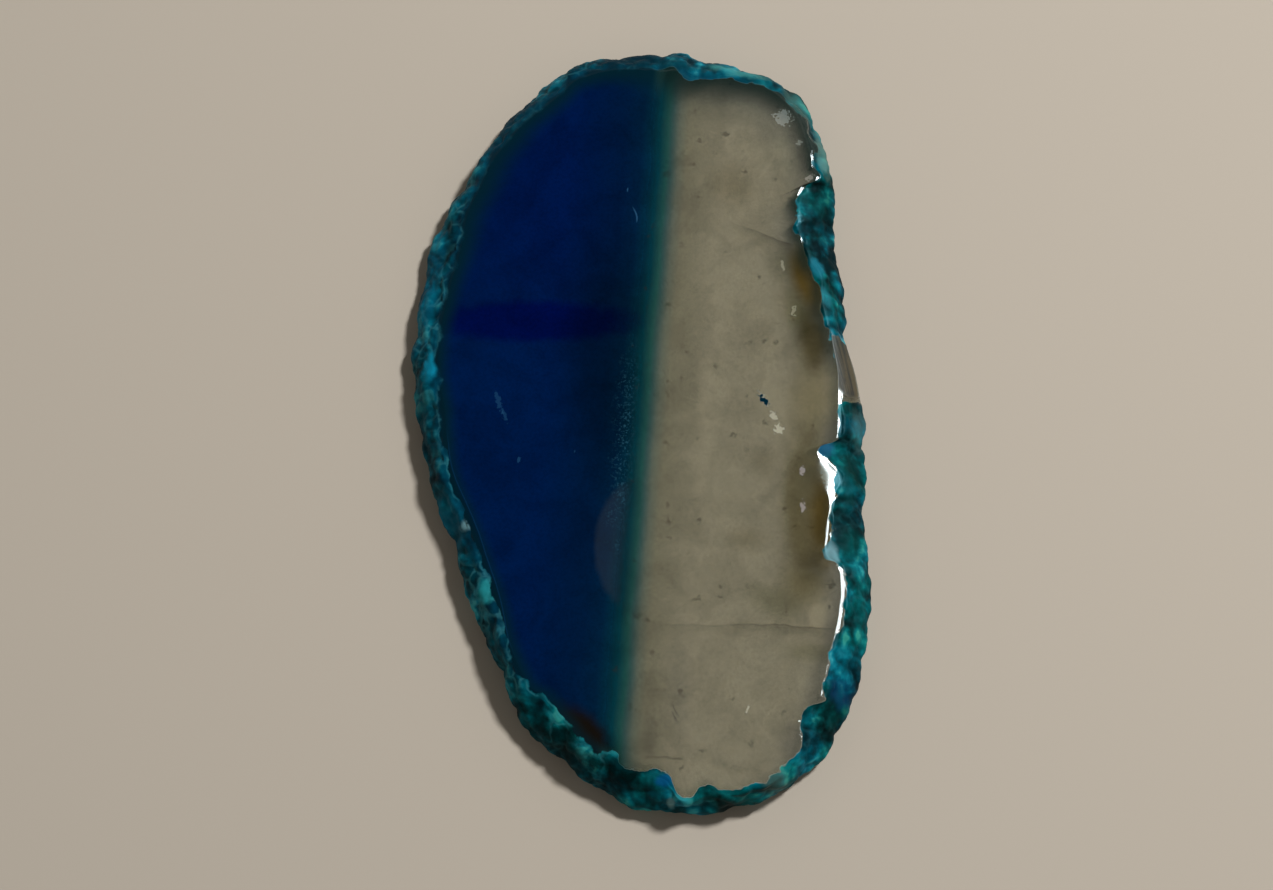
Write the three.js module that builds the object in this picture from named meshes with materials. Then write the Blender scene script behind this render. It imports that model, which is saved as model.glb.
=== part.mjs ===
// Agate slice: one slab sawn across an agate nodule and polished on both sawn faces.
// The nodule's own skin is left on the wall all round, a crust of small rounded lumps that bulges
// near the back face and slopes in to the smaller front face.
//
// Frame: millimetres, +Z up. The slab lies on its back face at z = 0, its length along Y, and the
// origin is the middle of its bounding box in X and Y.

import * as THREE from "three";

// Driving dimensions
const LENGTH = 100; // along Y, over the widest line of the skin
const THICKNESS = 5; // between the two sawn faces
const WIDEST_HEIGHT = 2; // height above the back face at which the skin bulges furthest
const UNDERCUT = 1; // how far the wall draws in again from there down to the back face
const STRAIGHTNESS = 0.5; // share of the upper wall that is a plain slope; the rest rolls over
const BEVEL_WIDTH = 1; // of the polished bevel round the front face
const BEVEL_DROP = 0.3; // how far that bevel falls
const SHOULDER_HEIGHT = THICKNESS - BEVEL_DROP;

// The outline, clockwise from the far end: x and y on the widest line of the skin, then how far
// the polished front face lies inside that point. Measured on a slice 100 mm long.
const STATIONS = [
  [0.5, 49.8, 3.6], [5.8, 50, 3.9], [7.2, 49.1, 3.6], [12.7, 48.3, 3.4],
  [18.2, 45.5, 2.4], [21.6, 42.4, 2.6], [24, 36, 2.4], [24.7, 32.9, 2.6],
  [24.9, 29.7, 4.2], [24.7, 23.4, 4.5], [25.4, 20.8, 4], [25.8, 17.6, 3.1],
  [26.1, 13, 3.3], [25.8, 10.5, 2.1], [27.2, 4.8, 2.5], [27.9, -1.3, 3.6],
  [27.7, -4.1, 5.2], [28, -10.6, 4.7], [27.5, -12.8, 4.1], [28.1, -17.9, 5],
  [28.3, -20.8, 4], [27.9, -27.1, 4], [26.6, -33.2, 3.9], [24.4, -38.8, 3.6],
  [22.8, -42, 3.9], [20.9, -44.5, 2.8], [16.4, -47.6, 2.5], [10.9, -49.5, 2],
  [5, -50, 1.6], [2.6, -49.9, 3.8], [-0.3, -49.5, 4.1], [-5, -46.8, 3.2],
  [-9.8, -43.3, 3], [-14.2, -38.9, 3.6], [-15.5, -36.2, 2.5], [-17.8, -30.5, 2.4],
  [-20.8, -23.3, 3.4], [-23.5, -15.3, 3.3], [-25.8, -8.4, 3], [-27.6, -0.8, 3.5],
  [-28.3, 6.4, 3.3], [-28, 13.6, 3.8], [-27.1, 19.8, 4.3], [-25.1, 26.2, 3.4],
  [-22.9, 30.8, 2.7], [-20.2, 35.4, 2.5], [-17.4, 39.8, 2.9], [-14.9, 42.3, 2.9],
  [-10.3, 46.9, 3.1], [-8.2, 48.3, 3.4], [-4.9, 49.3, 3.4],
];
const STATIONS_LENGTH = 100;

// The lumps of the crust, in two sizes: how far apart they stand, and how high they rise
const LUMPS = [
  { spacing: 4.2, height: 0.9 },
  { spacing: 2.3, height: 0.45 },
];
const CREST = 0.3; // share of a lump's height that stands outside the plain wall

// A chip on the right side where the skin has come away: the wall is smooth this far round a
// point of it, and has its full crust again further off
const CHIP = { x: 26.6, y: 5.4, smooth: 3, crusted: 6 };

// How finely the slab is faceted
const COLUMNS = 300;
const ROWS_BELOW = 3; // from the back face up to the widest line
const ROWS_ABOVE = 7; // from the widest line up to the shoulder, where the bevel starts
const GENERAL_RUN = 0.02; // share of the outline, each way, that a column's direction is taken from

// The plain middle of each sawn face: half its width and length, and how far it leans with the
// slab, to -X at the far end and to +X at the near one
const MIDDLE = { x: 14, y: 28, shift: 3 };

const DYED_AGATE = new THREE.MeshStandardMaterial({
  color: "#0c3a55",
  roughness: 0.12,
  metalness: 0,
});

// A number from 0 to 1 for a cell of a grid, scattered but the same every time: the digits after
// the point of a large multiple of a sine. Each stride gives other numbers.
const STRIDES = [
  new THREE.Vector3(127.1, 311.7, 74.7),
  new THREE.Vector3(269.5, 183.3, 246.1),
  new THREE.Vector3(113.5, 271.9, 124.6),
];
const SCATTER = 43758.5453;
function scattered(cell, stride) {
  const large = SCATTER * Math.sin(cell.dot(stride));
  return large - Math.floor(large);
}

// Squared distance from a point to the middle of the nearest lump, where each cell of a grid of
// unit cells holds one middle.
function nearestLump(point) {
  const home = point.clone().floor();
  const middle = new THREE.Vector3();
  let nearest = Infinity;
  for (let neighbour = 0; neighbour < 27; neighbour++) {
    const steps = [neighbour % 3, Math.floor(neighbour / 3) % 3, Math.floor(neighbour / 9)];
    const cell = new THREE.Vector3(...steps).subScalar(1).add(home);
    middle.set(...STRIDES.map((stride) => scattered(cell, stride))).add(cell);
    nearest = Math.min(nearest, middle.distanceToSquared(point));
  }
  return nearest;
}

// How far the crust stands out at a point of the wall: rounded lumps that meet in creases, and
// none on the chip.
function crust(point) {
  const fromChip = Math.hypot(point.x - CHIP.x, point.y - CHIP.y);
  const cover = THREE.MathUtils.smoothstep(fromChip, CHIP.smooth, CHIP.crusted);
  let proud = 0;
  for (const { spacing, height } of LUMPS) {
    proud += height * (CREST - nearestLump(point.clone().divideScalar(spacing)));
  }
  return proud * cover;
}

// How far the wall lies inside the widest line at one height: a quarter ellipse down to the back
// face, a slope that rolls over at its shoulder, and the bevel from there up to the front face.
function drawnIn(z, slope) {
  if (z < WIDEST_HEIGHT) {
    const below = 1 - z / WIDEST_HEIGHT;
    return UNDERCUT * (1 - Math.sqrt(1 - below * below));
  }
  if (z > SHOULDER_HEIGHT) {
    return slope - (BEVEL_WIDTH * (THICKNESS - z)) / BEVEL_DROP;
  }
  const above = (z - WIDEST_HEIGHT) / (SHOULDER_HEIGHT - WIDEST_HEIGHT);
  const rolled = 1 - Math.sqrt(Math.max(0, 1 - above * above));
  return (slope - BEVEL_WIDTH) * (STRAIGHTNESS * above + (1 - STRAIGHTNESS) * rolled);
}

// The heights of the wall's rows: closer together near the back face and the shoulder, and last
// the front face.
function rowHeights() {
  const heights = [];
  for (let row = 0; row < ROWS_BELOW; row++) {
    heights.push(WIDEST_HEIGHT * (1 - Math.cos((row / ROWS_BELOW) * (Math.PI / 2))));
  }
  for (let row = 0; row <= ROWS_ABOVE; row++) {
    const rise = Math.sin((row / ROWS_ABOVE) * (Math.PI / 2));
    heights.push(WIDEST_HEIGHT + (SHOULDER_HEIGHT - WIDEST_HEIGHT) * rise);
  }
  heights.push(THICKNESS);
  return heights;
}

// One point of the wall for each row and column. A column stands square to the general run of
// the widest line, so that columns next to each other don't cross at its sharper bends.
function wallPoints() {
  const scale = LENGTH / STATIONS_LENGTH;
  const stations = STATIONS.map((station) => new THREE.Vector3(...station).multiplyScalar(scale));
  const skin = new THREE.CatmullRomCurve3(stations.reverse(), true, "catmullrom", 0.5);
  skin.arcLengthDivisions = 4 * COLUMNS;
  const columns = [];
  for (let column = 0; column < COLUMNS; column++) {
    const at = skin.getPointAt(column / COLUMNS);
    const before = skin.getPointAt((column / COLUMNS - GENERAL_RUN + 1) % 1);
    const after = skin.getPointAt((column / COLUMNS + GENERAL_RUN) % 1);
    const outward = new THREE.Vector2(after.y - before.y, before.x - after.x).normalize();
    columns.push({ x: at.x, y: at.y, slope: at.z, outward });
  }
  return rowHeights().map((z) =>
    columns.map(({ x, y, slope, outward }) => {
      const inside = drawnIn(z, slope);
      const wall = new THREE.Vector3(x - outward.x * inside, y - outward.y * inside, z);
      const proud = crust(wall);
      return [wall.x + outward.x * proud, wall.y + outward.y * proud, z];
    }),
  );
}

// A flat face: a ring of triangles from its rim in to the plain middle, and the middle as two.
// The rim runs anticlockwise, and a face that looks down has its triangles turned round.
function addFace(points, faces, rim, looksDown) {
  const z = points[rim[0]][2];
  const first = points.length;
  const corners = [
    [MIDDLE.x - MIDDLE.shift, MIDDLE.y],
    [-MIDDLE.x - MIDDLE.shift, MIDDLE.y],
    [-MIDDLE.x + MIDDLE.shift, -MIDDLE.y],
    [MIDDLE.x + MIDDLE.shift, -MIDDLE.y],
  ];
  points.push(...corners.map(([x, y]) => [x, y, z]));
  const numbers = [...rim, first, first + 1, first + 2, first + 3];
  const outline = rim.map((number) => new THREE.Vector2(points[number][0], points[number][1]));
  const hole = corners.map(([x, y]) => new THREE.Vector2(x, y));
  const ring = THREE.ShapeUtils.triangulateShape(outline, [hole]);
  const flat = ring.map((corner) => corner.map((number) => numbers[number]));
  flat.push([first, first + 1, first + 2], [first, first + 2, first + 3]);
  faces.push(...flat.map(([a, b, c]) => (looksDown ? [a, c, b] : [a, b, c])));
}

function agateSlice() {
  const rows = wallPoints();
  const points = rows.flat();
  const faces = [];
  for (let row = 0; row + 1 < rows.length; row++) {
    for (let column = 0; column < COLUMNS; column++) {
      const here = row * COLUMNS + column;
      const beside = row * COLUMNS + ((column + 1) % COLUMNS);
      faces.push([here, beside, beside + COLUMNS], [here, beside + COLUMNS, here + COLUMNS]);
    }
  }
  const columnNumbers = [...Array(COLUMNS).keys()];
  const topRow = (rows.length - 1) * COLUMNS;
  addFace(points, faces, columnNumbers, true);
  addFace(points, faces, columnNumbers.map((column) => topRow + column), false);

  const geometry = new THREE.BufferGeometry();
  geometry.setAttribute("position", new THREE.Float32BufferAttribute(points.flat(), 3));
  geometry.setIndex(faces.flat());
  geometry.computeBoundingBox();
  const middle = geometry.boundingBox.getCenter(new THREE.Vector3());
  geometry.translate(-middle.x, -middle.y, 0);
  geometry.computeVertexNormals();

  const slab = new THREE.Mesh(geometry, DYED_AGATE);
  slab.name = "agate_slice";
  return slab;
}

const slice = new THREE.Group();
slice.add(agateSlice());

export default slice;
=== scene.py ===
import bpy
import numpy as np
from mathutils import Matrix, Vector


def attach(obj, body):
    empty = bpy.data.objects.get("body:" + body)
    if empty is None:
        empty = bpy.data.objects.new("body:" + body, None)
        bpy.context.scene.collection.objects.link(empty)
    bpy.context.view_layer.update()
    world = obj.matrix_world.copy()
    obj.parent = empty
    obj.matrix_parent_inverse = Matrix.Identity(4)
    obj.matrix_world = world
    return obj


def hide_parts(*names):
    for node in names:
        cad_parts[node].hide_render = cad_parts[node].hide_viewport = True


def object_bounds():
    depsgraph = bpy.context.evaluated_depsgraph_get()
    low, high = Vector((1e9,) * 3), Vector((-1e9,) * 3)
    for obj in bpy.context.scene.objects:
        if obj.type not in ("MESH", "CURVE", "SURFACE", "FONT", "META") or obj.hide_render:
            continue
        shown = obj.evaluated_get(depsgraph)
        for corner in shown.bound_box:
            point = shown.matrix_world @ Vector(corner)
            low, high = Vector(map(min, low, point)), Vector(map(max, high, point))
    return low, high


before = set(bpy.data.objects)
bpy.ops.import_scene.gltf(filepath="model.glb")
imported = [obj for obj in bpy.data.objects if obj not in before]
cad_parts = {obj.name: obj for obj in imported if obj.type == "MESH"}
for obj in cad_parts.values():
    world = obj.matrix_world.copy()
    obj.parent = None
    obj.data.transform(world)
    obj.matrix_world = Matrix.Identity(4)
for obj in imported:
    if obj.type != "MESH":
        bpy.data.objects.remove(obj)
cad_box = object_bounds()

MM = 0.001


# The floor: a plain sheet of pale, matte grey-beige card, wide enough to fill every view. It lies a
# hair below the slab, so that the two flat faces don't share one plane.
FLOOR_HALF = 3.0
FLOOR_DROP = 0.05 * MM
CARD_COLOUR = "#b4ab9e"
CARD_ROUGHNESS, CARD_GLOSS = 0.95, 0.15


def linear(colour):
    """An sRGB hex colour as linear red, green, blue and a full alpha: each channel is undone from
    the sRGB curve, a straight piece near black and a power of 2.4 above it."""
    channels = np.array([int(colour[i : i + 2], 16) for i in (1, 3, 5)]) / 255
    low, high = channels / 12.92, ((channels + 0.055) / 1.055) ** 2.4
    return (*np.where(channels <= 0.04045, low, high), 1.0)


def add(tree, kind, inputs, out=0, stops=(), **settings):
    """Adds a node to a tree, with its settings, and returns one output. Each input takes a number,
    a colour or another node's output, which is linked. Stops are a ramp's places and sRGB
    colours."""
    made = tree.nodes.new(kind)
    for name, value in settings.items():
        setattr(made, name, value)
    if stops:
        ramp_stops = made.color_ramp.elements
        ramp_stops.remove(ramp_stops[1])
        ramp_stops[0].position, ramp_stops[0].color = stops[0][0], linear(stops[0][1])
        for at, colour in stops[1:]:
            ramp_stops.new(at).color = linear(colour)
    for name, value in inputs.items():
        if isinstance(value, bpy.types.NodeSocket):
            tree.links.new(value, made.inputs[name])
        else:
            made.inputs[name].default_value = value
    return made.outputs[out]


card = bpy.data.materials.new("matte_card")
card.use_nodes = True
card_shader = card.node_tree.nodes["Principled BSDF"]
card_shader.inputs["Base Color"].default_value = linear(CARD_COLOUR)
card_shader.inputs["Roughness"].default_value = CARD_ROUGHNESS
card_shader.inputs["Specular IOR Level"].default_value = CARD_GLOSS

floor_mesh = bpy.data.meshes.new("floor")
corners = FLOOR_HALF * np.array([[-1, -1], [1, -1], [1, 1], [-1, 1]])
floor_mesh.from_pydata([(x, y, -FLOOR_DROP) for x, y in corners], [], [(0, 1, 2, 3)])
floor_mesh.materials.append(card)
floor = bpy.data.objects.new("floor", floor_mesh)
bpy.context.scene.collection.objects.link(floor)


# The light: one compact softbox up on the far right, which gives the short shadow to the near left,
# and beside it a strip that shows only as gloss on the polished edge, in a tent that is pale round
# the sides and dark overhead.
KEY_AZIMUTH, KEY_HEIGHT = np.radians(36), np.radians(51)
KEY_DISTANCE, KEY_SIZE = 1.0, 0.14
KEY_POWER = 10.5
STRIP_ENDS = np.array([[0.443, 0.510, 0.740], [0.512, 0.060, 0.860]])
STRIP_WIDTH = 0.16
STRIP_POWER = 7.0
TENT_COLOUR, TENT_STRENGTH = "#f3ede4", 0.42
TENT_TOP_STRENGTH = 0.015
TENT_TOP_FROM, TENT_TOP_WHOLE = 0.62, 0.85  # where it darkens, as the sine of the height

key_direction = np.array([
    np.cos(KEY_AZIMUTH) * np.cos(KEY_HEIGHT),
    np.sin(KEY_AZIMUTH) * np.cos(KEY_HEIGHT),
    np.sin(KEY_HEIGHT),
])
key_light = bpy.data.lights.new("softbox", "AREA")
key_light.shape = "DISK"
key_light.size = KEY_SIZE
key_light.energy = KEY_POWER
key = bpy.data.objects.new("softbox", key_light)
key.location = KEY_DISTANCE * key_direction
key.rotation_euler = (np.pi / 2 - KEY_HEIGHT, 0, np.pi / 2 + KEY_AZIMUTH)
bpy.context.scene.collection.objects.link(key)

strip_run = STRIP_ENDS[0] - STRIP_ENDS[1]
strip_middle = STRIP_ENDS.mean(axis=0)
strip_axes = np.array([strip_run, np.cross(strip_middle, strip_run), strip_middle])
strip_axes /= np.linalg.norm(strip_axes, axis=1, keepdims=True)
strip_light = bpy.data.lights.new("strip", "AREA")
strip_light.shape = "RECTANGLE"
strip_light.size = np.linalg.norm(strip_run)
strip_light.size_y = STRIP_WIDTH
strip_light.energy = STRIP_POWER
strip = bpy.data.objects.new("strip", strip_light)
strip.location = strip_middle
strip.rotation_euler = Matrix(strip_axes.T.tolist()).to_euler()
strip.visible_diffuse = False
strip.visible_transmission = False
bpy.context.scene.collection.objects.link(strip)

tent = bpy.data.worlds.new("tent")
tent.use_nodes = True
tent_tree = tent.node_tree
direction = add(tent_tree, "ShaderNodeTexCoord", {}, out="Generated")
upward = add(tent_tree, "ShaderNodeSeparateXYZ", {"Vector": direction}, out="Z")
strength = add(
    tent_tree, "ShaderNodeMapRange",
    {"Value": upward, "From Min": TENT_TOP_FROM, "From Max": TENT_TOP_WHOLE,
     "To Min": TENT_STRENGTH, "To Max": TENT_TOP_STRENGTH},
    interpolation_type="SMOOTHSTEP",
)
background = tent_tree.nodes["Background"]
background.inputs["Color"].default_value = linear(TENT_COLOUR)
tent_tree.links.new(strength, background.inputs["Strength"])
bpy.context.scene.world = tent
bpy.context.scene.view_settings.view_transform = "Standard"


# The camera: looks down at 71 degrees from the slab's near end, along +Y, close enough for the slab
# to fill most of the picture's height.
CAMERA_HEIGHT = np.radians(71)
CAMERA_DISTANCE = 0.33
CAMERA_AIM = MM * np.array([-0.17, -3.33, 0])
CAMERA_LENS, CAMERA_FILM = 74.8, 36
CAMERA_NEAREST = 0.01

camera_data = bpy.data.cameras.new("camera")
camera_data.sensor_width = CAMERA_FILM
camera_data.lens = CAMERA_LENS
camera_data.clip_start = CAMERA_NEAREST
camera = bpy.data.objects.new("camera", camera_data)
camera.location = CAMERA_AIM + CAMERA_DISTANCE * np.array([
    0, -np.cos(CAMERA_HEIGHT), np.sin(CAMERA_HEIGHT),
])
camera.rotation_euler = (np.pi / 2 - CAMERA_HEIGHT, 0, 0)
bpy.context.scene.collection.objects.link(camera)
bpy.context.scene.camera = camera


# The slab: one piece of agate with its skin on. It is sawn flat back and front, its front edge is
# rolled over by the polishing, more on some stretches than on others, and its wall is the nodule's
# own skin: rounded lumps with smaller ones on them, less one chip on the right.
THICKNESS = 5.0
WIDEST_HEIGHT = 2.0
UNDERCUT = 1.0
STRAIGHTNESS = 0.5

# The outline, clockwise from the far end: x and y on the widest line of the skin, then how far the
# polished front face lies inside that point.
STATIONS = np.array([
    [0.5, 49.8, 3.6], [5.8, 50, 3.9], [7.2, 49.1, 3.6], [12.7, 48.3, 3.4],
    [18.2, 45.5, 2.4], [21.6, 42.4, 2.6], [24, 36, 2.4], [24.7, 32.9, 2.6],
    [24.9, 30.9, 2.3], [24.9, 29.3, 4.4], [24.7, 23.4, 4.5], [25.4, 20.8, 4],
    [25.8, 17.6, 3.1], [26.1, 13, 3.3], [25.8, 10.5, 2.1], [27.2, 4.8, 2.5],
    [27.9, -1.3, 3.6], [27.7, -4, 3.7], [27.8, -5.2, 5.9], [27.9, -6.9, 6.2],
    [28, -8.9, 6.3], [28, -10.4, 5.6], [27.5, -12.8, 4.1], [28.1, -18.4, 5.4],
    [28.3, -20.8, 4], [27.9, -27.1, 4], [26.6, -33.2, 4.3], [25.3, -36.8, 3.7],
    [24.4, -38.8, 3.2], [22.8, -42, 4.7], [20.9, -44.5, 2.6], [16.4, -47.6, 1.5],
    [10.9, -49.5, 1.5], [7.8, -49.9, 2.4], [5, -50, 1.6], [2.6, -49.9, 3.8],
    [-0.3, -49.5, 4.1], [-5, -46.8, 3.2], [-9.8, -43.3, 3], [-14.2, -38.9, 3.6],
    [-15.5, -36.2, 2.5], [-17.8, -30.5, 2.4], [-20.8, -23.3, 3.4], [-23.5, -15.3, 3.3],
    [-25.8, -8.4, 3], [-27.6, -0.8, 3.5], [-28.3, 6.4, 3.3], [-28, 13.6, 3.8],
    [-27.1, 19.8, 4.3], [-25.1, 26.2, 3.4], [-22.9, 30.8, 2.7], [-20.2, 35.4, 2.5],
    [-17.4, 39.8, 2.9], [-14.9, 42.3, 2.9], [-10.3, 46.9, 3.1], [-8.2, 48.3, 3.4],
    [-4.9, 49.3, 3.4],
])

# How finely the slab is meshed: steps of the outline between two stations, columns round it, and
# rows below the widest line, above it, on the bevel and from there in to the middle of each face.
# A column's direction is taken over a share of the outline each way.
STATION_STEPS = 64
COLUMNS = 1300
GENERAL_RUN = 0.02
ROWS_BELOW, ROWS_CRUST, ROWS_BEVEL, ROWS_FACE = 9, 26, 7, 12

# The rim: how wide the polished bevel is, how far out from the front face the skin starts, and how
# far in from there the stone is drawn darker. That darker band is a painted shade of the skin seen
# through the stone, together with the dye's stain. Then the stretches where it differs: the middle
# of each, how far round that it reaches, and what it adds to those three.
BEVEL_TILT = np.radians(13.8)
RIM = np.array([0.4, 0.1, 2.2])
STRETCHES = [
    ((28.2, -21.0), 10.5, (0.1, 0.6, -0.8)),
    ((28.0, -8.9), 2.1, (2.3, 2.4, 0.0)),
    ((27.8, -5.3), 1.0, (-0.5, -0.6, 0.0)),
    ((27.8, -2.2), 2.2, (0.25, 0.2, 0.0)),
    ((27.6, -15.5), 3.2, (-0.2, -0.2, 0.0)),
    ((28.1, -18.7), 1.2, (-0.4, -0.9, 0.0)),
    ((25.6, 16.5), 7, (-0.2, -0.7, 0.0)),
    ((26.6, 7.0), 4.5, (-0.3, 0.0, 0.0)),
    ((24.8, 27.0), 8, (-0.15, -0.4, 0.0)),
    ((24.8, 31.8), 1.4, (0.1, 0.5, 0.0)),
    ((24.9, 29.4), 0.8, (0.4, 0.9, 0.0)),
    ((24.8, 25.6), 0.7, (0.3, 0.8, 0.0)),
    ((24.7, 22.4), 0.7, (0.3, 0.8, 0.0)),
    ((-22.5, -17.0), 14, (0.5, 0.7, 0.0)),
    ((4.0, -49.0), 14, (0.0, -0.4, -1.4)),
    ((23.0, -41.5), 7, (-0.35, -0.15, -1.5)),
    ((26.5, -34.0), 2.6, (-0.3, -0.5, 0.0)),
    ((11.0, 48.3), 11, (-0.3, -0.4, 4.6)),
    ((23.4, 39.0), 6.2, (0.0, 1.0, 1.0)),
    ((-21.0, 32.0), 14, (0.0, 0.0, 2.0)),
]

# The polishing isn't quite even: the share by which the bevel's width and its drop wander, and
# over what distance. It also curves, and where it is wider it is flatter and curves more.
WIDTH_WANDER, WIDTH_WANDER_RUN = 0.2, 3
DROP_WANDER, DROP_WANDER_RUN = 0.08, 6
BEVEL_CURVE = 1.12
WIDER_FLATTER, WIDER_CURVES = 0.1, 0.2


def closed_spline(stations, count):
    """Points at equal steps along a closed Catmull-Rom spline: between two stations it is the cubic
    whose ends run parallel to the lines that join the stations on either side."""
    before, here, after, beyond = (
        np.roll(stations, turn, axis=0)[:, None] for turn in (1, 0, -1, -2)
    )
    t = (np.arange(STATION_STEPS) / STATION_STEPS)[None, :, None]
    cubic = (
        2 * here + (after - before) * t + (2 * before - 5 * here + 4 * after - beyond) * t**2
        + (3 * here - before - 3 * after + beyond) * t**3
    ) / 2
    loop = cubic.reshape(-1, stations.shape[1])
    loop = np.vstack([loop, loop[:1]])
    travelled = np.append(0, np.cumsum(np.linalg.norm(np.diff(loop, axis=0), axis=1)))
    wanted = travelled[-1] * np.arange(count) / count
    return np.stack([np.interp(wanted, travelled, axis) for axis in loop.T], axis=1)


# The lumps, from the large ones that the hand feels to a fine grain: how far apart they stand and
# how high they rise, and the share of that which stands outside the plain wall
LUMPS = [(4.2, 0.9), (2.3, 0.45)]
FINE_LUMPS = [(1.5, 0.31), (0.8, 0.09)]
CREST = 0.3

# Where they fade: round the chip, below the evened shoulder of the bevel, and, the fine ones alone,
# below the bevel and above the back face
CHIP, CHIP_SMOOTH, CHIP_CRUSTED = np.array([26.6, 5.4]), 3.0, 6.0
EVENED_COLUMNS, EVENED_DEPTH = 12, 0.8
FINE_FADE_BEVEL, FINE_FADE_BACK = 0.5, 0.4

# How much more a fine lump counts than a large one in the relief measure, which paints the crests
# paler and the hollows between the lumps darker, a painted shade
FINE_RELIEF = 4

# The line down the middle of the slab, where the two faces' rows end
SPINE_FAR, SPINE_NEAR = np.array([-2.0, 36.0]), np.array([4.0, -38.0])

# What scatters the lumps: three strides along a sine wave, and the large multiple of it whose
# digits after the point are taken
STRIDES = np.array([[127.1, 311.7, 74.7], [269.5, 183.3, 246.1], [113.5, 271.9, 124.6]])
SCATTER = 43758.5453


def scattered(cells, strides):
    """Numbers from 0 to 1 for the cells of a grid, scattered but the same every time: the digits
    after the point of a large multiple of a sine."""
    large = SCATTER * np.sin(cells @ strides.T)
    return large - np.floor(large)


def nearest_lump(points):
    """Squared distance from each point to the middle of the nearest lump, where each cell of a grid
    of unit cells holds one middle."""
    home = np.floor(points)
    nearest = np.full(len(points), np.inf)
    for step in np.ndindex(3, 3, 3):
        cells = home + np.array(step) - 1
        middles = cells + scattered(cells, STRIDES)
        nearest = np.minimum(nearest, ((middles - points) ** 2).sum(axis=1))
    return nearest


def cloud(points):
    """Smooth noise from -1 to 1 on a grid of unit cells: each corner of a cell holds a scattered
    number, and a point between them takes a share of each by smoothstep weights."""
    home = np.floor(points)
    part = points - home
    part = part * part * (3 - 2 * part)
    total = np.zeros(len(points))
    for corner in np.ndindex(2, 2, 2):
        share = np.where(corner, part, 1 - part).prod(axis=1)
        total += share * scattered(home + corner, STRIDES[0])
    return 2 * total - 1


def ramp(values, start, end):
    """0 before start, 1 after end, and a smooth S between."""
    t = np.clip((values - start) / (end - start), 0, 1)
    return t * t * (3 - 2 * t)


def lumpy(points, lumps):
    """How far the skin stands out of the plain wall: the sum, over the sizes of lump, of a
    bowl-shaped crest that falls with the square of the distance from the nearest lump's middle."""
    return sum(height * (CREST - nearest_lump(points / spacing)) for spacing, height in lumps)


def wall_rows(line, outward):
    """The wall, from the back face up to the front: rows of points, how far each lies outside the
    front face's border, and the rim's three measures there, which swell near each stretch's middle
    by a bell curve. Below the widest line the wall is a quarter ellipse, above it a slope that
    rolls over at its shoulder, and last the bevel."""
    plan = np.column_stack([line[:, :2], np.zeros(len(line))])
    rim = RIM[:, None] + sum(
        np.outer(extra, np.exp(-((line[:, :2] - at) ** 2).sum(axis=1) / reach**2))
        for at, reach, extra in STRETCHES
    )
    rim[0] *= 1 + WIDTH_WANDER * cloud(plan / WIDTH_WANDER_RUN)
    width = rim[0]
    elsewhere = plan / DROP_WANDER_RUN + 9
    drop = width * np.tan(BEVEL_TILT) * (1 + DROP_WANDER * cloud(elsewhere))
    drop *= 1 - WIDER_FLATTER * (width - RIM[0])
    curve = BEVEL_CURVE + WIDER_CURVES * (width - RIM[0])
    shoulder = THICKNESS - drop
    rows, outside = [], []
    for i in range(ROWS_BELOW):
        height = WIDEST_HEIGHT * (1 - np.cos(i / ROWS_BELOW * np.pi / 2))
        below = 1 - height / WIDEST_HEIGHT
        inset = np.full(len(line), UNDERCUT * (1 - np.sqrt(1 - below**2)))
        rows.append((np.full(len(line), height), inset))
        outside.append(line[:, 2] + WIDEST_HEIGHT - height)
    for i in range(ROWS_CRUST):
        above = np.sin(i / ROWS_CRUST * np.pi / 2)
        share = STRAIGHTNESS * above + (1 - STRAIGHTNESS) * (1 - np.sqrt(1 - above**2))
        inset = (line[:, 2] - width) * share
        rows.append((WIDEST_HEIGHT + (shoulder - WIDEST_HEIGHT) * above, inset))
        outside.append(line[:, 2] - inset)
    for i in range(ROWS_BEVEL + 1):
        left = 1 - i / ROWS_BEVEL
        rows.append((THICKNESS - drop * left**curve, line[:, 2] - width * left))
        outside.append(width * left)
    points = np.array([
        np.column_stack([line[:, :2] - outward * inset[:, None], height]) for height, inset in rows
    ])
    return points, np.array(outside), rim


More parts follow.
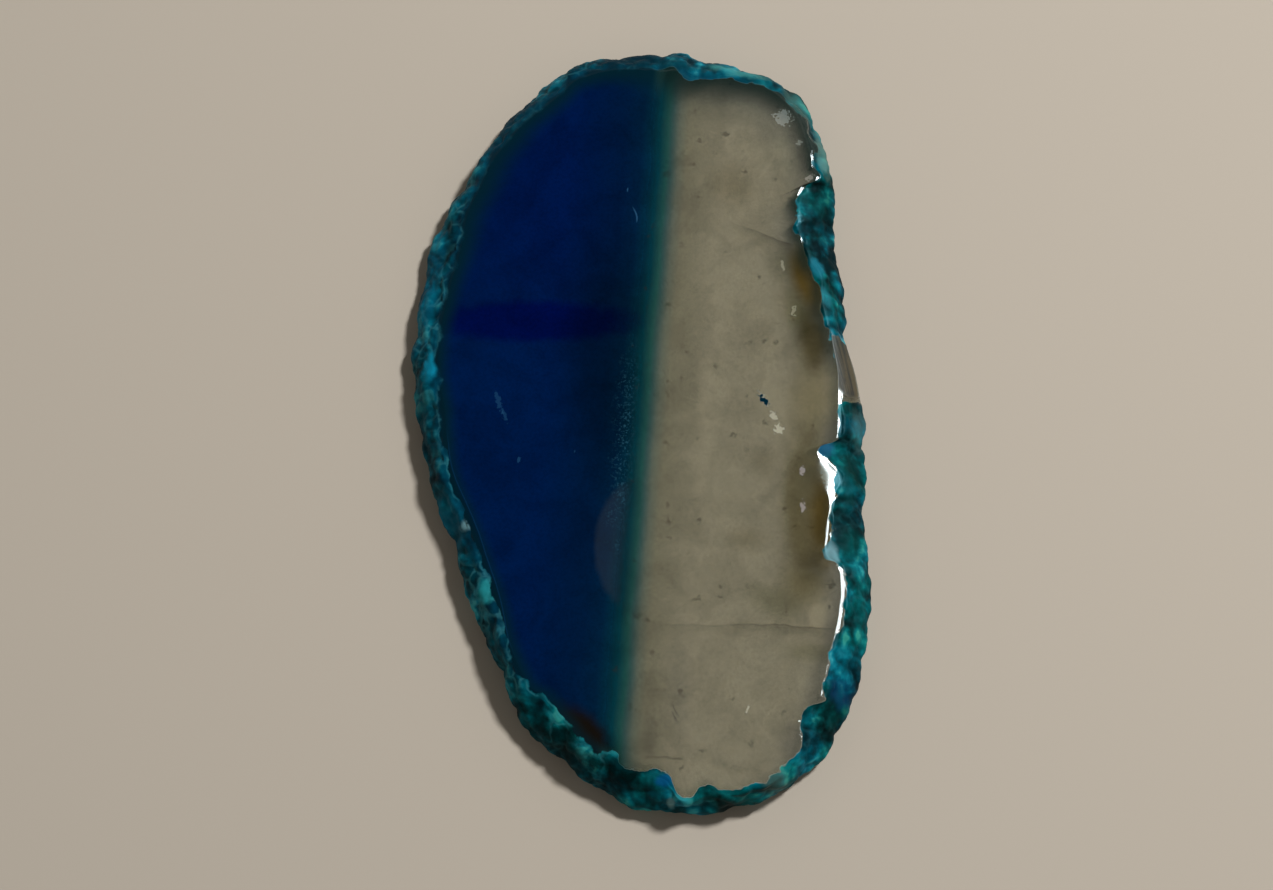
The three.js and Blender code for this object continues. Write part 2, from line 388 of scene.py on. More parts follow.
def slab_surface():
    """The whole surface as rows of points, from the middle of the back face, out over it, up the
    wall and in over the front face to its middle; the two middle rows lie on a line down the slab
    that the columns of its left and right sides share. With it go four measures: how many
    millimetres a point lies outside the front face's border and outside the line where the skin
    starts; how far the lumps stand out there, which also paints shade into the hollows of the skin;
    and how deep it is in the darker rim, a painted shade of the skin, from 0 inside that to 1 at
    the skin."""
    line = closed_spline(STATIONS[::-1], COLUMNS)
    step = round(GENERAL_RUN * COLUMNS)
    chord = np.roll(line, -step, axis=0)[:, :2] - np.roll(line, step, axis=0)[:, :2]
    outward = np.column_stack([chord[:, 1], -chord[:, 0]])
    outward /= np.linalg.norm(outward, axis=1, keepdims=True)
    wall, outside, (bevel, bare, shaded_rim_width) = wall_rows(line, outward)
    from_chip = np.linalg.norm(wall[..., :2] - CHIP, axis=2)
    cover = ramp(from_chip, CHIP_SMOOTH, CHIP_CRUSTED)
    proud = cover * lumpy(wall.reshape(-1, 3), LUMPS).reshape(outside.shape)

    # Where the bevel is bare, the polishing has evened it out along the rim, and below it the lumps
    # come back
    shoulder = proud[-ROWS_BEVEL - 1]
    shifts = range(-EVENED_COLUMNS, EVENED_COLUMNS + 1)
    evened = np.mean([np.roll(shoulder, by) for by in shifts], axis=0)
    below_bevel = outside - bevel
    polished_off = ramp(bare, -0.1, 0.1) * (1 - ramp(below_bevel, 0, EVENED_DEPTH))
    proud += polished_off * (evened - proud)
    wall[..., :2] += proud[..., None] * outward

    # The fine lumps stand square to the wall, and there are none on the bevel or at the back face
    along = np.roll(wall, -1, axis=1) - np.roll(wall, 1, axis=1)
    square = np.cross(along, np.gradient(wall, axis=0))
    square /= np.linalg.norm(square, axis=2, keepdims=True)
    fine = lumpy(wall.reshape(-1, 3), FINE_LUMPS).reshape(outside.shape)
    fine *= cover * ramp(below_bevel, 0, FINE_FADE_BEVEL) * ramp(wall[..., 2], 0, FINE_FADE_BACK)
    wall += fine[..., None] * square
    wall[..., 2] = np.clip(wall[..., 2], 0, THICKNESS)

    turn = 2 * np.pi * np.arange(COLUMNS) / COLUMNS
    spine = SPINE_FAR + (SPINE_NEAR - SPINE_FAR) * ((1 - np.cos(turn)) / 2)[:, None]
    shares = (np.arange(1, ROWS_FACE + 1) / ROWS_FACE) ** 2
    faces, inside = [], []
    for border in (wall[0], wall[-1]):
        rings = [border[:, :2] * (1 - share) + spine * share for share in shares]
        faces.append(np.array([np.column_stack([ring, border[:, 2]]) for ring in rings]))
        inside.append(np.array([-np.linalg.norm(ring - border[:, :2], axis=1) for ring in rings]))
    surface = np.concatenate([faces[0][::-1], wall, faces[1]])
    outside_bare = (outside - bare) * cover - (1 - cover)
    skin = np.concatenate([inside[0][::-1], outside_bare, inside[1] - bare])
    relief = np.zeros_like(skin)
    relief[ROWS_FACE : ROWS_FACE + len(wall)] = proud + FINE_RELIEF * fine
    edge = np.concatenate([inside[0][::-1], outside, inside[1]])
    # The rim measure places the painted shade of the skin seen through the stone
    return surface, {"edge": edge, "skin": skin, "relief": relief, "rim": 1 + skin / shaded_rim_width}


surface, measures = slab_surface()
row_count = len(surface)
number = np.arange(row_count * COLUMNS).reshape(row_count, COLUMNS)
column = np.arange(COLUMNS)
for middle_row in (0, row_count - 1):
    number[middle_row] = number[middle_row, np.minimum(column, (COLUMNS - column) % COLUMNS)]
beside = np.roll(number, -1, axis=1)
quads = np.stack([number[:-1], beside[:-1], beside[1:], number[1:]], axis=-1).reshape(-1, 4)
used, quads = np.unique(quads, return_inverse=True)
points = surface.reshape(-1, 3)[used]
points[:, :2] -= ((points.max(axis=0) + points.min(axis=0)) / 2)[:2]
size = points.max(axis=0) - points.min(axis=0)
cad_size = (np.array(cad_box[1]) - np.array(cad_box[0])) / MM
points[:, :2] *= np.minimum(1, (cad_size / size)[:2])

slab_mesh = bpy.data.meshes.new("dyed_agate_slice")
slab_mesh.from_pydata(points * MM, [], quads.reshape(-1, 4).tolist())
slab_mesh.polygons.foreach_set("use_smooth", np.ones(len(slab_mesh.polygons), bool))
for name, values in measures.items():
    attribute = slab_mesh.attributes.new(name, "FLOAT", "POINT")
    attribute.data.foreach_set("value", values.reshape(-1)[used].astype(np.float32))
slab = bpy.data.objects.new("dyed_agate_slice", slab_mesh)
bpy.context.scene.collection.objects.link(slab)
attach(slab, "root")
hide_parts("agate_slice")


# The stone: agate, which is a clouded quartz, sawn, polished like glass and steeped in blue dye.
# The dye has soaked in from the left as far as one straight band and stops there in a soft front.
# Past it the stone is clear, a little smoky, and the sheet it lies on shows through.
AGATE_IOR = 1.54

agate = bpy.data.materials.new("dyed_agate")
agate.use_nodes = True
tree = agate.node_tree
stone = tree.nodes["Principled BSDF"]
stone.inputs["IOR"].default_value = AGATE_IOR

# The sockets of a colour Mix node: its share, its two colours and its result
SHARE, UNDER, OVER, MIXED = 0, 6, 7, 2

# Where a point is: its place in millimetres, and the mesh's four measures
at_metres = add(tree, "ShaderNodeTexCoord", {}, out="Object")
place = add(tree, "ShaderNodeVectorMath", {0: at_metres, "Scale": 1 / MM}, operation="SCALE")
edge_mm = add(tree, "ShaderNodeAttribute", {}, out="Fac", attribute_name="edge")
skin_mm = add(tree, "ShaderNodeAttribute", {}, out="Fac", attribute_name="skin")
relief_mm = add(tree, "ShaderNodeAttribute", {}, out="Fac", attribute_name="relief")
rim_shade_depth = add(tree, "ShaderNodeAttribute", {}, out="Fac", attribute_name="rim")


def nearness(middle, half_sizes, turn):
    """How near a point is to the middle of an oval: 1 there, 0.5 on the oval, and 0 from twice its
    size on. Sizes are in millimetres, and the turn, about Z, is in degrees."""
    centred = add(tree, "ShaderNodeMapping", {
        "Vector": place, "Location": middle, "Rotation": (0, 0, np.radians(turn)),
        "Scale": [2 * half_size for half_size in half_sizes],
    }, vector_type="TEXTURE")
    return add(tree, "ShaderNodeTexGradient", {"Vector": centred},
               out="Fac", gradient_type="SPHERICAL")


def distance(middle, half_sizes, turn=0):
    """How far a point is from the middle of an oval: 0 there, 1 on the oval, and more outside."""
    centred = add(tree, "ShaderNodeMapping", {
        "Vector": place, "Location": middle, "Rotation": (0, 0, np.radians(turn)),
        "Scale": half_sizes,
    }, vector_type="TEXTURE")
    return add(tree, "ShaderNodeVectorMath", {0: centred}, out="Value", operation="LENGTH")


# Unevenness in three sizes, in millimetres, used all over: slow, like the cloudiness of the stone;
# small, like its ragged edges; and a fine grain, drawn coarser than the real one so that it shows
SLOW_SIZE, SMALL_SIZE, FINE_SIZE = 8, 1.5, 0.35
slow = add(tree, "ShaderNodeTexNoise",
           {"Vector": place, "Scale": 1 / SLOW_SIZE, "Detail": 2}, out="Fac")
small = add(tree, "ShaderNodeTexNoise",
            {"Vector": place, "Scale": 1 / SMALL_SIZE, "Detail": 3, "Roughness": 0.6}, out="Fac")
fine = add(tree, "ShaderNodeTexNoise",
           {"Vector": place, "Scale": 1 / FINE_SIZE, "Detail": 1}, out="Fac")

# The dye's front: a nearly straight line up the slab, with a slow wander of half a millimetre each
# way. It gives how many millimetres past the front a point lies.
FRONT_AT, FRONT_LEAN, FRONT_WANDER = 1.6, 0.076, 0.5
across = add(tree, "ShaderNodeVectorMath", {0: place, 1: (1, -FRONT_LEAN, 0)},
             out="Value", operation="DOT_PRODUCT")
from_front = add(tree, "ShaderNodeMath", {0: slow, 1: 2 * FRONT_WANDER, 2: across},
                 operation="MULTIPLY_ADD")
from_front = add(tree, "ShaderNodeMath", {0: from_front, 1: FRONT_AT + FRONT_WANDER},
                 operation="SUBTRACT")

# How dark the dye has made the stone, by distance from its front: deep blue, then a darker band,
# then green as it thins out
DYE_FROM, DYE_TO = -14, 8
DYE_STOPS = [
    (-13, "#001a46"), (-10, "#00193f"), (-6, "#011b3b"), (-3.8, "#02213c"), (-3, "#032a3f"),
    (-2.4, "#05364a"), (-2, "#0b4757"), (-1.5, "#12697a"), (-0.5, "#458a84"), (0, "#648f8f"),
    (1, "#a0aa9b"), (2, "#b5b39d"), (7, "#ccc9b4"),
]
dye_share = add(tree, "ShaderNodeMapRange",
                {"Value": from_front, "From Min": DYE_FROM, "From Max": DYE_TO})
body = add(tree, "ShaderNodeValToRGB", {"Fac": dye_share},
           stops=[((at - DYE_FROM) / (DYE_TO - DYE_FROM), colour) for at, colour in DYE_STOPS])

# Where the dye is thin enough to look through
CLEAR_FROM, CLEAR_WHOLE = -3.4, -1.2
clear = add(tree, "ShaderNodeMapRange",
            {"Value": from_front, "From Min": CLEAR_FROM, "From Max": CLEAR_WHOLE},
            interpolation_type="SMOOTHSTEP")

# What lies inside the clear stone is put on its front half alone, or the eye, which looks through
# both faces, would meet it twice
plain_body = body
height_mm = add(tree, "ShaderNodeSeparateXYZ", {"Vector": place}, out="Z")
front_half = add(tree, "ShaderNodeMath", {0: height_mm, 1: THICKNESS / 2}, operation="GREATER_THAN")

# The clear half's clouds, a few millimetres across, with darker tufts here and there and the grain
CLOUD_SIZE = 5
clouds = add(tree, "ShaderNodeTexNoise", {
    "Vector": place, "Scale": 1 / CLOUD_SIZE, "Detail": 4, "Roughness": 0.55, "Distortion": 0.7,
}, out="Fac")
cloudy = add(tree, "ShaderNodeMapRange",
             {"Value": clouds, "From Min": 0.3, "From Max": 0.6, "To Min": 0.74, "To Max": 1.03})
grain = add(tree, "ShaderNodeMapRange",
            {"Value": fine, "From Min": 0.3, "From Max": 0.6, "To Min": 0.86, "To Max": 1.03})
cloudy = add(tree, "ShaderNodeMath", {0: cloudy, 1: grain}, operation="MULTIPLY")
body = add(tree, "ShaderNodeVectorMath", {0: body, "Scale": cloudy}, operation="SCALE")

# Dark flecks in the clear half, half a millimetre across and ragged: a share of the cells of a
# loose mesh have one each
FLECK_SPACING, FLECK_SHARE = 2.0, 0.5
FLECK_COLOUR, FLECK_COVER = "#4e473c", 0.5
fleck_at = add(tree, "ShaderNodeTexVoronoi", {"Vector": place, "Scale": 1 / FLECK_SPACING})
fleck_chance = add(tree, "ShaderNodeSeparateColor", {"Color": fleck_at.node.outputs["Color"]})
fleck_reach = add(tree, "ShaderNodeMath", {0: small, 1: 0.8, 2: fleck_at},
                  operation="MULTIPLY_ADD")
fleck_reach = add(tree, "ShaderNodeMath", {0: fine, 1: 0.5, 2: fleck_reach},
                  operation="MULTIPLY_ADD")
fleck = add(tree, "ShaderNodeMapRange", {"Value": fleck_reach, "From Min": 0.84, "From Max": 0.7})
few = add(tree, "ShaderNodeMath", {0: fleck_chance, 1: 1 - FLECK_SHARE}, operation="GREATER_THAN")
fleck = add(tree, "ShaderNodeMath", {0: fleck, 1: few}, operation="MULTIPLY")
fleck = add(tree, "ShaderNodeMath", {0: fleck, 1: FLECK_COVER}, operation="MULTIPLY")
fleck = add(tree, "ShaderNodeMath", {0: fleck, 1: clear}, operation="MULTIPLY")
body = add(tree, "ShaderNodeMix", {SHARE: fleck, UNDER: body, OVER: linear(FLECK_COLOUR)},
           out=MIXED, data_type="RGBA")

# Zones drawn darker, browner or paler: each has its middle, its half sizes, its turn in degrees,
# how soft its edge is, its colour and how it is laid on, multiplied or as a cover. They reach
# through the front half of the stone. The long dark band across the blue is a painted reflection.
ZONE_HALF_DEPTH = 8
ZONES = [
    ((-12.0, 28.0), (16.0, 22.0), 0, 0.8, "#ffe0ff", "MULTIPLY"),
    ((-3.6, 7.0), (6.0, 19.0), -4, 0.6, "#d0d6cc", "MULTIPLY"),
    # painted reflection: a long dark band across the blue
    ((-13.0, 11.3), (15.0, 3.2), 0, 0.35, "#ffa4f4", "MULTIPLY"),
    ((-6.5, -41.1), (5.4, 2.7), -43, 0.5, "#15110d", "MIX"),
    ((21.6, 17.0), (2.6, 5.6), 15, 0.5, "#f0ca78", "MULTIPLY"),
    ((20.0, 19.0), (3.8, 3.4), -15, 0.8, "#c0c2b4", "MULTIPLY"),
    ((20.2, 12.6), (2.2, 4.6), 8, 0.7, "#b4b8a6", "MULTIPLY"),
    ((21.8, 8.8), (2.4, 5.2), 0, 0.6, "#b0a688", "MULTIPLY"),
    ((21.4, 0.5), (3.2, 6.5), 0, 0.7, "#e0dccc", "MULTIPLY"),
    ((20.6, -12.6), (3.6, 11.0), 0, 0.4, "#b8b4a0", "MULTIPLY"),
    ((22.8, -14.5), (2.2, 7.0), 0, 0.6, "#fce0a0", "MULTIPLY"),
    ((20.0, -22.6), (3.6, 4.0), -14, 0.7, "#c8c4b0", "MULTIPLY"),
    ((16.6, -25.0), (4.4, 2.2), -25, 0.8, "#d4d8d0", "MULTIPLY"),
    ((20.5, -31.2), (4.0, 1.4), -4, 1.0, "#d4d6ca", "MULTIPLY"),
    ((21.6, -26.9), (1.3, 1.9), -6, 0.4, "#d8d2b8", "MIX"),
    ((15.3, -7.4), (2.1, 2.6), 10, 1.0, "#d4d2ce", "MULTIPLY"),
    ((12.0, 30.0), (3.4, 3.6), 20, 1.0, "#d8d4cc", "MULTIPLY"),
    ((13.0, -17.0), (2.6, 1.6), 0, 1.0, "#dedad2", "MULTIPLY"),
    ((5.0, -36.0), (1.8, 6.5), 2, 1.0, "#e0e2e8", "MULTIPLY"),
    ((1.4, -41.0), (1.2, 3.6), 0, 1.0, "#d8dade", "MULTIPLY"),
    ((26.4, 6.0), (2.0, 5.6), 4, 0.3, "#c0a068", "MULTIPLY"),
]
for (x, y), (wide, long), turn, softness, tint, way in ZONES:
    close = nearness((x, y, THICKNESS / 2), (wide, long, ZONE_HALF_DEPTH), turn)
    close = add(tree, "ShaderNodeMath", {0: small, 1: -0.15, 2: close}, operation="MULTIPLY_ADD")
    zone = add(tree, "ShaderNodeMapRange",
               {"Value": close, "From Min": 0.425 - softness / 6, "From Max": 0.425 + softness / 2},
               interpolation_type="SMOOTHSTEP")
    body = add(tree, "ShaderNodeMix", {SHARE: zone, UNDER: body, OVER: linear(tint)},
               out=MIXED, data_type="RGBA", blend_type=way)

# Cracks, which fade out to the left: each has the middle of its line, half its length, its turn and
# bow, and how far the shade below it reaches. The line wanders with the slow and small unevenness,
# and is drawn 0.2 mm wide, which is coarser than the real one, so that it shows.
CRACK_COLOUR = "#3a3628"
CRACK_SLOW, CRACK_SMALL = 1.6, 0.7
CRACKS = [
    ((12.4, -27.9), 11.8, -2.4, -0.12, 1.6),
    ((15.7, 23.2), 4.6, -23, 0.3, 2.2),
    ((2.9, -44.1), 2.6, 2, 0.0, 0.3),
]
for (x, y), half_length, turn, bow, shade_reach in CRACKS:
    along_crack = add(tree, "ShaderNodeMapping", {
        "Vector": place, "Location": (x, y, 0), "Rotation": (0, 0, np.radians(turn)),
    }, vector_type="TEXTURE")
    off = add(tree, "ShaderNodeSeparateXYZ", {"Vector": along_crack}, out="Y")
    run = add(tree, "ShaderNodeMath", {0: off.node.outputs["X"], 1: half_length},
              operation="DIVIDE")
    square = add(tree, "ShaderNodeMath", {0: run, 1: run}, operation="MULTIPLY")
    off = add(tree, "ShaderNodeMath", {0: square, 1: -bow, 2: off}, operation="MULTIPLY_ADD")
    off = add(tree, "ShaderNodeMath", {0: slow, 1: CRACK_SLOW, 2: off}, operation="MULTIPLY_ADD")
    off = add(tree, "ShaderNodeMath", {0: small, 1: CRACK_SMALL, 2: off}, operation="MULTIPLY_ADD")
    off = add(tree, "ShaderNodeMath", {0: off, 1: (CRACK_SLOW + CRACK_SMALL) / 2},
              operation="SUBTRACT")
    kept = add(tree, "ShaderNodeMapRange", {"Value": square, "From Min": 1.0, "From Max": 0.6})
    near_line = add(tree, "ShaderNodeMath", {0: off}, operation="ABSOLUTE")
    line_share = add(tree, "ShaderNodeMapRange",
                     {"Value": near_line, "From Min": 0.2, "From Max": 0.05, "To Max": 0.62})
    strong = add(tree, "ShaderNodeMapRange", {"Value": run, "From Min": -1, "To Min": 0.25})
    shade = add(tree, "ShaderNodeMapRange",
                {"Value": off, "From Min": -shade_reach, "From Max": 0, "To Max": 0.4},
                interpolation_type="SMOOTHSTEP")
    below = add(tree, "ShaderNodeMath", {0: off, 1: 0}, operation="LESS_THAN")
    shade = add(tree, "ShaderNodeMath", {0: shade, 1: below}, operation="MULTIPLY")
    shade = add(tree, "ShaderNodeMath", {0: shade, 1: line_share}, operation="MAXIMUM")
    shade = add(tree, "ShaderNodeMath", {0: shade, 1: kept}, operation="MULTIPLY")
    shade = add(tree, "ShaderNodeMath", {0: shade, 1: strong}, operation="MULTIPLY")
    body = add(tree, "ShaderNodeMix", {SHARE: shade, UNDER: body, OVER: linear(CRACK_COLOUR)},
               out=MIXED, data_type="RGBA")

body = add(tree, "ShaderNodeMix", {SHARE: front_half, UNDER: plain_body, OVER: body},
           out=MIXED, data_type="RGBA")

# The chip: the skin has broken away and left clear stone there, drawn out in brown streaks along
# the edge, half a millimetre wide
BROKEN_MIDDLE, BROKEN_HALF_SIZES = (26.0, 7.6, THICKNESS / 2), (3.0, 6.6, 8)
STREAK_COLOUR, STREAK_TURN, STREAK_SIZES = "#7c6444", 13, (0.5, 7, 2)
chip_reach = distance(BROKEN_MIDDLE, BROKEN_HALF_SIZES)
chipped = add(tree, "ShaderNodeMapRange", {"Value": chip_reach, "From Min": 1.0, "From Max": 0.9})
outside_face = add(tree, "ShaderNodeMapRange",
                   {"Value": edge_mm, "From Min": -0.1, "From Max": 0.05})
chipped = add(tree, "ShaderNodeMath", {0: chipped, 1: outside_face}, operation="MULTIPLY")
drawn_out = add(tree, "ShaderNodeMapping", {
    "Vector": place, "Rotation": (0, 0, np.radians(STREAK_TURN)), "Scale": STREAK_SIZES,
}, vector_type="TEXTURE")
streaks = add(tree, "ShaderNodeTexNoise", {"Vector": drawn_out, "Scale": 1, "Detail": 2}, out="Fac")
streaks = add(tree, "ShaderNodeMapRange", {"Value": streaks, "From Min": 0.4, "From Max": 0.6})
streaks = add(tree, "ShaderNodeMath", {0: streaks, 1: chipped}, operation="MULTIPLY")
body = add(tree, "ShaderNodeMix", {SHARE: streaks, UNDER: body, OVER: linear(STREAK_COLOUR)},
           out=MIXED, data_type="RGBA", blend_type="MULTIPLY")

# The rim, drawn darker next to the skin: a painted shade of the skin seen through the stone,
# together with the dye's stain. It is faint along the right and the near right.
DYED_RIM_SHADE, CLEAR_RIM_SHADE = "#04222b", "#2a504c"
rim_shade_colour = add(tree, "ShaderNodeMix",
                 {SHARE: clear, UNDER: linear(DYED_RIM_SHADE), OVER: linear(CLEAR_RIM_SHADE)},
                 out=MIXED, data_type="RGBA")
near_right = add(tree, "ShaderNodeVectorMath", {0: place, 1: (1, -0.6, 0)},
                 out="Value", operation="DOT_PRODUCT")
rim_shade_most = add(tree, "ShaderNodeMapRange",
              {"Value": near_right, "From Min": 4, "From Max": 42, "To Min": 0.92, "To Max": 0.15})
rim_shade_share = add(tree, "ShaderNodeMapRange",
                {"Value": rim_shade_depth, "From Min": 0, "From Max": 1, "To Max": rim_shade_most},
                interpolation_type="SMOOTHSTEP")
# Painted shade: next to the skin the stone is mixed toward the rim's dark colour
body = add(tree, "ShaderNodeMix", {SHARE: rim_shade_share, UNDER: body, OVER: rim_shade_colour},
           out=MIXED, data_type="RGBA")

# The edge where the bevel meets the front face, drawn on the left as a thin pale line beside the
# skin: a painted highlight along that edge
EDGE_HIGHLIGHT_COLOUR = "#1f5c98"
edge_highlight_reach = distance((-18.5, -17.5, THICKNESS), (6.0, 15.0, 4), turn=22)
edge_highlight_shown = add(tree, "ShaderNodeMapRange",
                 {"Value": edge_highlight_reach, "From Min": 1.05, "From Max": 0.8, "To Max": 0.11})
edge_off = add(tree, "ShaderNodeMath", {0: edge_mm}, operation="ABSOLUTE")
edge_highlight = add(tree, "ShaderNodeMapRange", {"Value": edge_off, "From Min": 0.11, "From Max": 0.03})
edge_highlight = add(tree, "ShaderNodeMath", {0: edge_highlight, 1: edge_highlight_shown}, operation="MULTIPLY")
body = add(tree, "ShaderNodeMix", {SHARE: edge_highlight, UNDER: body, OVER: linear(EDGE_HIGHLIGHT_COLOUR)},
           out=MIXED, data_type="RGBA")

# The haze: a patch of fine bubbles in the blue next to its front, with a round left edge, and a
# dust of pale specks along the front above and below it. The real specks are too fine to show,
# so they are drawn at a third of a millimetre.
HAZE_COLOUR, DUST_COLOUR, DUST_COVER = "#2c3640", "#3f7890", 0.28
SPECK_SIZE = 0.3
haze_reach = distance((0.2, -17.6, THICKNESS / 2), (5.4, 8.4, 40), turn=-4)
haze_reach = add(tree, "ShaderNodeMath", {0: small, 1: 0.12, 2: haze_reach},
                 operation="MULTIPLY_ADD")
haze = add(tree, "ShaderNodeMapRange",
           {"Value": haze_reach, "From Min": 1.12, "From Max": 1.0, "To Max": 0.34})
dyed = add(tree, "ShaderNodeMapRange", {"Value": from_front, "From Min": 0.2, "From Max": -2.0})
haze = add(tree, "ShaderNodeMath", {0: haze, 1: dyed}, operation="MULTIPLY")
body = add(tree, "ShaderNodeMix", {SHARE: haze, UNDER: body, OVER: linear(HAZE_COLOUR)},
           out=MIXED, data_type="RGBA")
dust_reach = distance((-1.0, -5, THICKNESS / 2), (2.6, 17, 40), turn=-4.5)
dust_reach = add(tree, "ShaderNodeMath", {0: small, 1: 1.2, 2: dust_reach},
                 operation="MULTIPLY_ADD")
dusty = add(tree, "ShaderNodeMapRange", {"Value": dust_reach, "From Min": 1.6, "From Max": 0.9})
specks = add(tree, "ShaderNodeTexNoise",
             {"Vector": place, "Scale": 1 / SPECK_SIZE, "Detail": 2, "Roughness": 0.7}, out="Fac")
speck = add(tree, "ShaderNodeMapRange", {"Value": specks, "From Min": 0.52, "From Max": 0.66})
dust = add(tree, "ShaderNodeMath", {0: speck, 1: dusty}, operation="MULTIPLY")
dust = add(tree, "ShaderNodeMath", {0: dust, 1: DUST_COVER}, operation="MULTIPLY")
body = add(tree, "ShaderNodeMix", {SHARE: dust, UNDER: body, OVER: linear(DUST_COLOUR)},
           out=MIXED, data_type="RGBA")

# Marks on the front face: a fleck of dye, chalky flecks and scuffs, and two painted lights, a pale
# reflection on the facet below the knob and a small glint near the near end. Each has its middle,
# its half sizes, its turn, its colour and how well that covers. The grain makes their outlines
# ragged.
MARK_HALF_DEPTH = 1
MARKS = [
    ((15.6, 0.8), (0.48, 1.2), 32, "#01222f", 1.0),
    ((16.7, -1.3), (0.5, 0.8), 15, "#b4b4a2", 0.5),
    ((17.3, -3.0), (0.75, 0.75), 40, "#b4b4a2", 0.5),
    # painted reflection: the pale blue-grey gloss on the facet below the knob
    ((22.9, -8.6), (0.8, 2.0), 0, "#4c7c88", 0.4),
    ((20.1, -8.4), (0.4, 0.8), 0, "#a29ca6", 0.6),
    ((20.1, -13.0), (0.4, 0.9), 0, "#a29ca6", 0.6),
    ((18.2, 18.8), (0.25, 0.9), 10, "#9f9d8c", 0.4),
    ((19.5, 12.7), (0.35, 1.0), 0, "#9f9d8c", 0.4),
    ((18.6, 39.4), (1.2, 1.3), 30, "#768080", 0.6),
    ((20.6, 35.8), (0.5, 0.5), 0, "#768080", 0.4),
    ((21.9, 30.9), (0.7, 0.5), 30, "#8f8a84", 0.5),
    # painted glint: a small pale streak
    ((13.0, -38.2), (0.18, 0.6), -25, "#b9b9ab", 0.3),
    ((-17.2, 0.6), (0.35, 1.6), 15, "#2f6690", 0.2),
    ((-16.4, -1.2), (0.25, 0.9), 15, "#2f6690", 0.2),
    ((-14.6, -7.0), (0.2, 0.6), -20, "#2f6690", 0.25),
]
opaque = 0.0
for (x, y), (wide, long), turn, mark_colour, cover in MARKS:
    close = nearness((x, y, THICKNESS), (wide, long, MARK_HALF_DEPTH), turn)
    close = add(tree, "ShaderNodeMath", {0: close, 1: fine}, operation="SUBTRACT")
    mark = add(tree, "ShaderNodeMapRange",
               {"Value": close, "From Min": 0, "From Max": 0.2, "To Max": cover})
    body = add(tree, "ShaderNodeMix", {SHARE: mark, UNDER: body, OVER: linear(mark_colour)},
               out=MIXED, data_type="RGBA")
    opaque = add(tree, "ShaderNodeMath", {0: opaque, 1: mark}, operation="MAXIMUM")

# Fine scratches in the polish, which show only on the dark blue: short, bright and gently bent.
# They are the middles of long cells, a share of which have one. The real ones are too fine to
# show, so they are drawn a tenth of a millimetre wide.
SCRATCH_SPACING, SCRATCH_SHARE = 1.7, 0.2
SCRATCH_COLOUR, SCRATCH_COVER = "#3f76a0", 0.4
SCRATCH_TURN, SCRATCH_SHORTENED = 0.5, 0.16
BEND_SIZE, BEND = 6, (5, 1.2, 0)
bent = add(tree, "ShaderNodeMapping", {
    "Vector": place, "Rotation": (0, 0, SCRATCH_TURN),
    "Scale": (1, SCRATCH_SHORTENED, SCRATCH_SHORTENED),
})
scratch_bend = add(tree, "ShaderNodeTexNoise",
                   {"Vector": place, "Scale": 1 / BEND_SIZE, "Detail": 0}, out="Color")
bent = add(tree, "ShaderNodeVectorMath", {0: scratch_bend, 1: BEND, 2: bent},
           operation="MULTIPLY_ADD")
scratch_at = add(tree, "ShaderNodeTexVoronoi", {"Vector": bent, "Scale": 1 / SCRATCH_SPACING})
scratch_chance = add(tree, "ShaderNodeSeparateColor", {"Color": scratch_at.node.outputs["Color"]})
scratch = add(tree, "ShaderNodeMapRange",
              {"Value": scratch_at, "From Min": 0.09, "From Max": 0.03, "To Max": SCRATCH_COVER})
few = add(tree, "ShaderNodeMath", {0: scratch_chance, 1: 1 - SCRATCH_SHARE},
          operation="GREATER_THAN")
scratch = add(tree, "ShaderNodeMath", {0: scratch, 1: few}, operation="MULTIPLY")
scratch = add(tree, "ShaderNodeMath", {0: scratch, 1: dyed}, operation="MULTIPLY")
body = add(tree, "ShaderNodeMix", {SHARE: scratch, UNDER: body, OVER: linear(SCRATCH_COLOUR)},
           out=MIXED, data_type="RGBA")

# The skin: a crust of lumps that the dye has stained from black-green to turquoise, in patches of a
# few lumps, with paler crests and darker hollows between the lumps, which is painted shade. It
# starts in a line of lobes, a lump at a time, which is softer at the near right.
LOBE_SIZE, PATCH_SIZE = 2.6, 3.6
lobes = add(tree, "ShaderNodeTexNoise",
            {"Vector": place, "Scale": 1 / LOBE_SIZE, "Detail": 1}, out="Fac")
skin_edge = add(tree, "ShaderNodeMath", {0: lobes, 1: 2.4, 2: skin_mm}, operation="MULTIPLY_ADD")
skin_edge = add(tree, "ShaderNodeMath", {0: small, 1: 1.0, 2: skin_edge},
                operation="MULTIPLY_ADD")
soft_start = add(tree, "ShaderNodeMapRange",
                 {"Value": near_right, "From Min": -20, "From Max": -36,
                  "To Min": 1.85, "To Max": 2.8})
crusted = add(tree, "ShaderNodeMapRange",
              {"Value": skin_edge, "From Min": 1.6, "From Max": soft_start},
              interpolation_type="SMOOTHSTEP")
patches = add(tree, "ShaderNodeTexNoise", {
    "Vector": place, "Scale": 1 / PATCH_SIZE, "Detail": 2, "Roughness": 0.5, "Distortion": 0.6,
}, out="Fac")
tone = add(tree, "ShaderNodeMath", {0: small, 1: 0.35, 2: -0.175}, operation="MULTIPLY_ADD")
# Painted shade: the relief makes the hollows darker and the crests paler
tone = add(tree, "ShaderNodeMath", {0: relief_mm, 1: 0.14, 2: tone}, operation="MULTIPLY_ADD")
tone = add(tree, "ShaderNodeMath", {0: tone, 1: patches}, operation="ADD")
tone = add(tree, "ShaderNodeMapRange", {"Value": tone, "From Min": 0.29, "From Max": 0.71})
crust_colour = add(tree, "ShaderNodeValToRGB", {"Fac": tone}, stops=[
    (0.1, "#001a20"), (0.3, "#002e38"), (0.5, "#00424f"), (0.68, "#00586a"), (0.84, "#0a7082"),
    (0.97, "#2c8a94"),
])

